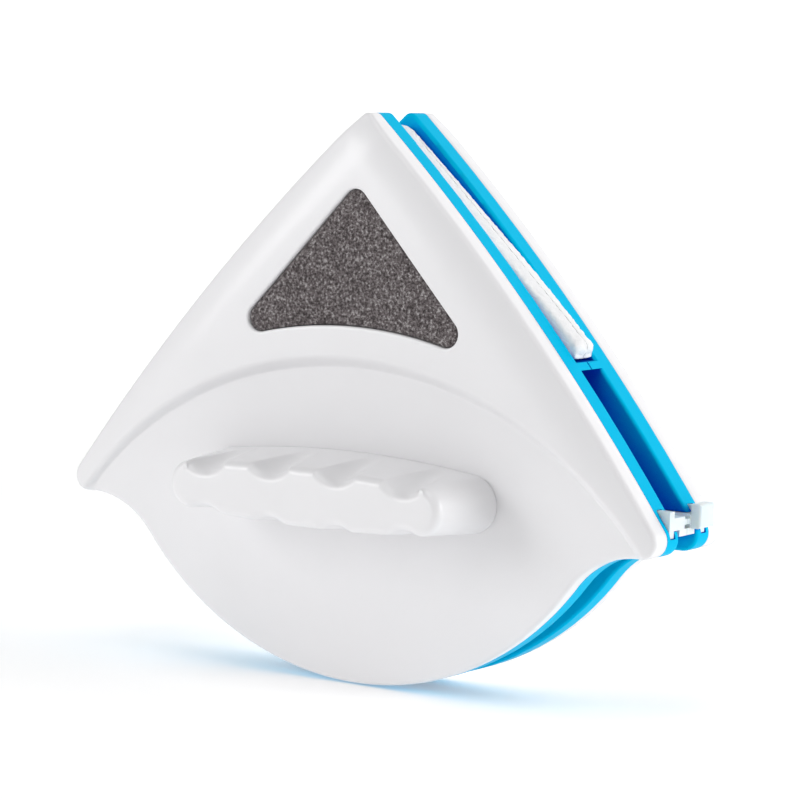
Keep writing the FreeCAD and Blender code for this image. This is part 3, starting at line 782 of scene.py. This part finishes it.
def clear_silicone():
    """Milky silicone that lets some light through."""
    n = Nodes("clear_silicone")
    n.colour(n.ramp(n.noise(120.0), [(0.3, (0.80, 0.90, 0.98)), (0.7, (0.86, 0.94, 1.0))]))
    n.join(n.map(n.noise(300.0), 0.28, 0.42), n.shader.inputs["Roughness"])
    n.set(Transmission_Weight=0.12, IOR=1.41, Subsurface_Weight=0.8, Subsurface_Radius=(0.004, 0.005, 0.006))
    n.bump(n.noise(700.0), 0.2, 0.0001)
    return n


def bare_metal(name, colour, rough, metallic):
    n = Nodes(name)
    grain = n.noise(600.0, 5.0)
    n.colour(n.ramp(grain, [(0.3, tuple(c * 0.8 for c in colour)), (0.7, colour)]))
    n.join(n.map(grain, rough * 0.8, rough * 1.3), n.shader.inputs["Roughness"])
    n.set(Metallic=metallic)
    n.bump(grain, 0.3, 0.00005)
    return n


def make_materials():
    made = [white_shell(), cyan_plastic(), grey_plastic(), grey_foam(), white_cotton(), hook_tape(),
            clear_silicone(), bare_metal("magnet", (0.06, 0.06, 0.065), 0.55, 0.4),
            bare_metal("yoke_steel", (0.58, 0.59, 0.61), 0.3, 1.0),
            bare_metal("screw_steel", (0.62, 0.62, 0.64), 0.25, 1.0)]
    return {n.name: n.material for n in made}


def paint(obj, material):
    obj.data.materials.clear()
    obj.data.materials.append(material)


# Building the pieces ---------------------------------------------------------------------------------
materials = make_materials()
slots = {part["node"]: part["material_slot"] for part in frame["record"]["subparts"]}
for node, obj in frame["nodes"].items():
    paint(obj, materials[slots[node]])

for prefix, outer in (("inner", False), ("outer", True)):
    body = prefix + "_half"
    made = [
        (cover_skin(prefix + "_cover_skin", outer), "cover"),
        (handle_skin(prefix + "_handle_skin", outer), "handle"),
        (foam_block(prefix + "_sponge_foam", outer, 3.0 if outer else 11.0), "scouring_sponge"),
        (cotton_pad(prefix + "_apex_fleece", prefix + "_apex_pad", outer, 5.0, 2.6, 0.5), "apex_pad"),
        (cotton_pad(prefix + "_centre_fleece", prefix + "_centre_pad", outer, 9.0, 1.4, 0.0), "centre_pad"),
    ]
    for piece, node in made:
        node = prefix + "_" + node
        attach(piece, body)
        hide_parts(node)
        paint(piece, materials[slots[node]])


# Stage, light and camera -----------------------------------------------------------------------------
LIT_PLACE = (0.0, 0.0, 0.03)


def make_floor():
    """A pale sweep: flat under the object and curving up far behind it."""
    floor_z = first_bounds[0][2] - 0.6 * MM
    near, far, bend, side, top = -3.0, 0.9, 0.6, 4.0, 3.0
    profile = [(near, 0.0), (far, 0.0)]
    for a in np.linspace(0.1, math.pi / 2, 12):
        profile.append((far + bend * math.sin(a), bend - bend * math.cos(a)))
    profile += [(far + bend, top)]
    verts = [(x, y, floor_z + z) for y, z in profile for x in (-side, side)]
    faces = [(2 * i, 2 * i + 1, 2 * i + 3, 2 * i + 2) for i in range(len(profile) - 1)]
    mesh = bpy.data.meshes.new("floor")
    mesh.from_pydata(verts, [], faces)
    floor = link_smooth("floor", mesh)
    paint(floor, pale_floor().material)
    return floor


def pale_floor():
    """Near-white paper that glows a little, more so far behind the object."""
    n = Nodes("pale_floor")
    n.colour(n.ramp(n.noise(3.0, 2.0), [(0.3, (0.93, 0.93, 0.93)), (0.7, (0.95, 0.95, 0.95))]))
    n.set(Roughness=0.9, Emission_Color=(1.0, 1.0, 1.0, 1.0))
    glow = n.map(n.along("Y"), 0.24, 0.55, 0.15, 0.9)
    glow.node.interpolation_type = "SMOOTHSTEP"
    n.join(glow, n.shader.inputs["Emission Strength"])
    return n


def add_light(name, location, size, power):
    """A square area lamp that faces the object."""
    data = bpy.data.lights.new(name, "AREA")
    data.energy = power
    data.size = size
    light = bpy.data.objects.new(name, data)
    bpy.context.scene.collection.objects.link(light)
    light.location = location
    light.rotation_mode = "QUATERNION"
    light.rotation_quaternion = (Vector(LIT_PLACE) - Vector(location)).to_track_quat("-Z", "Y")


def make_camera():
    data = bpy.data.cameras.new("camera")
    data.lens = 146.6
    camera = bpy.data.objects.new("camera", data)
    bpy.context.scene.collection.objects.link(camera)
    camera.location = (0.5162, -0.8197, 0.1341)
    aim = Vector((0.0118, -0.0127, 0.03506))
    camera.rotation_mode = "QUATERNION"
    look = (aim - camera.location).to_track_quat("-Z", "Y")
    roll = Matrix.Rotation(math.radians(2.17), 4, "Z").to_quaternion()
    camera.rotation_quaternion = look @ roll
    data.clip_start, data.clip_end = 0.05, 20.0
    bpy.context.scene.camera = camera


def make_world():
    world = bpy.data.worlds.new("world")
    world.use_nodes = True
    background = world.node_tree.nodes["Background"]
    background.inputs["Color"].default_value = (1.0, 1.0, 1.0, 1.0)
    background.inputs["Strength"].default_value = 0.32
    bpy.context.scene.world = world


make_world()
bpy.context.scene.view_settings.view_transform = "Standard"

make_floor()
add_light("key", (-0.80, -1.05, 0.45), 0.7, 6.6)
add_light("side", (1.0, 0.30, 0.30), 0.4, 4.7)
add_light("top", (0.1, -0.35, 1.05), 0.6, 2.2)
make_camera()
